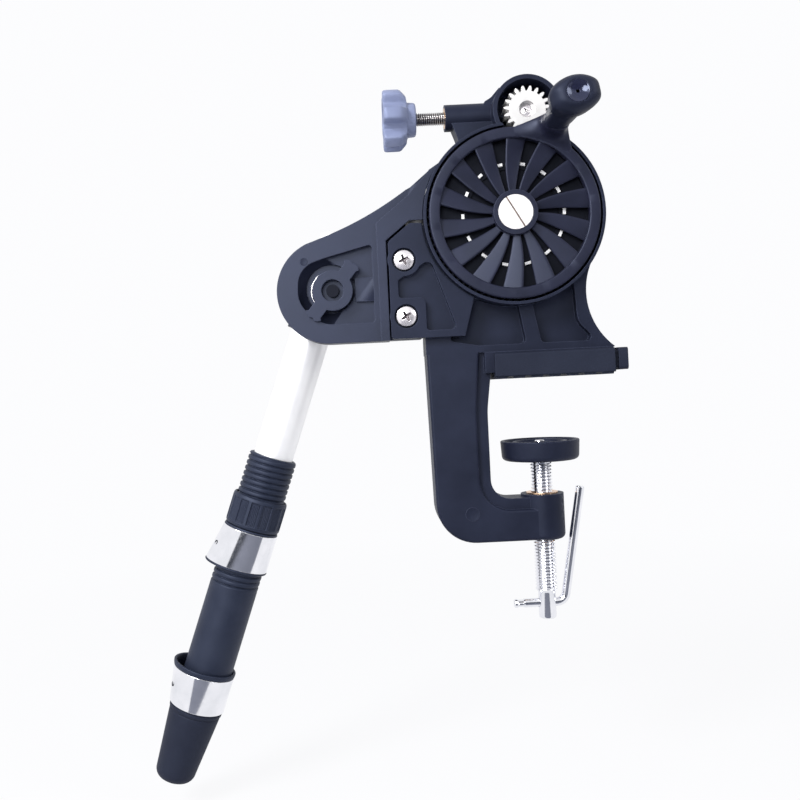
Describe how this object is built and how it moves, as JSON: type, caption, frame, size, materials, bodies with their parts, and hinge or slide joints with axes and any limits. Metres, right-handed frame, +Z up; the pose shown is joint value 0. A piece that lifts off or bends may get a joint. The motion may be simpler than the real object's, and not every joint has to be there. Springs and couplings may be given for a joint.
{
  "type": "fishing line winder",
  "caption": "Table-clamp fishing line winder: fan-bladed crank wheel geared to a spool spindle, screw brake, and a swinging reel arm with a threaded reel seat.",
  "frame": {"origin": "on the clamp screw's axis, at the underside of the upper jaw where it meets the table top", "axes": "+Z up along the clamp screw, +X from the column towards the jaw's open end, +Y away from the crank side"},
  "size_m": [0.2284, 0.1612, 0.3222],
  "materials": {
    "black_plastic": "fine satin texture",
    "gloss_black": "polished",
    "grey_plastic": "satin",
    "rubber": "matt",
    "rubber_black": "matt",
    "nickel": "bright plated",
    "steel": "turned",
    "chrome": "polished",
    "brass": "turned",
    "aluminium": "satin anodised"
  },
  "bodies": {
    "frame": {"main_frame": "black_plastic", "reel_arm_bracket": "black_plastic", "bracket_screws": "nickel", "bracket_nuts": "steel", "jaw_pad": "rubber", "clamp_nut_insert": "brass", "brake_nut_insert": "brass", "axle_bolt": "nickel", "axle_nut": "steel", "axle_washer": "steel", "spindle_bushes": "brass", "pivot_washer": "nickel"},
    "crank": {"crank_wheel": "black_plastic", "drive_gear": "black_plastic", "knob_axle": "steel"},
    "crank_knob": {"knob_grip": "black_plastic", "knob_cap": "gloss_black"},
    "spindle": {"pinion": "nickel", "pinion_screw": "nickel", "spindle_shaft": "steel", "inner_cone": "black_plastic"},
    "sliding_cone": {"outer_cone": "black_plastic"},
    "cone_nut": {"spool_nut": "grey_plastic"},
    "shoe": {"brake_shoe": "rubber"},
    "brake": {"brake_screw": "nickel", "brake_knob": "grey_plastic"},
    "pad": {"pressure_pad": "black_plastic"},
    "screw": {"clamp_screw": "chrome", "pad_washer": "steel"},
    "bar": {"tommy_bar": "chrome"},
    "reel_arm": {"pivot_key": "black_plastic", "holder_screw": "steel", "pipe_holder": "black_plastic", "arm_pipe": "aluminium", "pipe_cap": "black_plastic", "seat_tube": "black_plastic", "lower_hood": "black_plastic", "lower_hood_ring": "chrome", "butt_cap": "rubber_black"},
    "sliding_hood": {"upper_hood": "black_plastic", "upper_hood_ring": "chrome"},
    "ring_nut": {"hood_nut": "black_plastic"}
  },
  "joints": [
    {"name": "crank_turn", "type": "hinge", "parent": "frame", "child": "crank", "pos_m": [-0.0093, 0, 0.0736], "axis": [0, 1, 0], "continuous": true},
    {"name": "spindle_turn", "type": "hinge", "parent": "frame", "child": "spindle", "pos_m": [-0.00105, 0, 0.12038], "axis": [0, 1, 0], "continuous": true},
    {"name": "crank_knob_spin", "type": "hinge", "parent": "crank", "child": "crank_knob", "pos_m": [0.00931, 0, 0.11125], "axis": [0, 1, 0], "continuous": true},
    {"name": "cone_slide", "type": "slide", "parent": "spindle", "child": "sliding_cone", "axis": [0, 1, 0], "range_m": [-0.02, 0]},
    {"name": "cone_nut_turn", "type": "hinge", "parent": "sliding_cone", "child": "cone_nut", "pos_m": [-0.00105, 0.06, 0.12038], "axis": [0, 1, 0], "range_deg": [-7190, 0]},
    {"name": "brake_shoe_slide", "type": "slide", "parent": "frame", "child": "shoe", "axis": [1, 0, 0], "range_m": [-0.006, 0.0003]},
    {"name": "brake_screw_turn", "type": "hinge", "parent": "shoe", "child": "brake", "pos_m": [-0.045, -0.0025, 0.12108], "axis": [1, 0, 0], "range_deg": [-2150, 100]},
    {"name": "clamp_travel", "type": "slide", "parent": "frame", "child": "pad", "axis": [0, 0, 1], "range_m": [-0.014, 0.008]},
    {"name": "clamp_screw_turn", "type": "hinge", "parent": "pad", "child": "screw", "pos_m": [0, 0, -0.06], "axis": [0, 0, 1], "range_deg": [-105, 105]},
    {"name": "tommy_bar_fold", "type": "hinge", "parent": "screw", "child": "bar", "pos_m": [0, 0, -0.1043], "axis": [1, 0, 0], "continuous": true},
    {"name": "reel_arm_swing", "type": "hinge", "parent": "frame", "child": "reel_arm", "pos_m": [-0.0922, 0, 0.0433], "axis": [0, 1, 0], "range_deg": [-18, 110]},
    {"name": "upper_hood_slide", "type": "slide", "parent": "reel_arm", "child": "sliding_hood", "axis": [-0.3379, 0, -0.9412], "range_m": [-0.02, 0.027]},
    {"name": "hood_nut_turn", "type": "hinge", "parent": "sliding_hood", "child": "ring_nut", "pos_m": [-0.1355, 0.016, -0.06015], "axis": [-0.3379, 0, -0.9412], "range_deg": [-2660, 3590]}
  ],
  "couplings": [
    {"joint": "spindle_turn", "follows": "crank_turn", "ratio": -4},
    {"joint": "cone_slide", "follows": "cone_nut_turn", "m_per_rad": 0.00015915},
    {"joint": "brake_shoe_slide", "follows": "brake_screw_turn", "m_per_rad": 0.00015915},
    {"joint": "upper_hood_slide", "follows": "hood_nut_turn", "m_per_rad": 0.00042972}
  ]
}
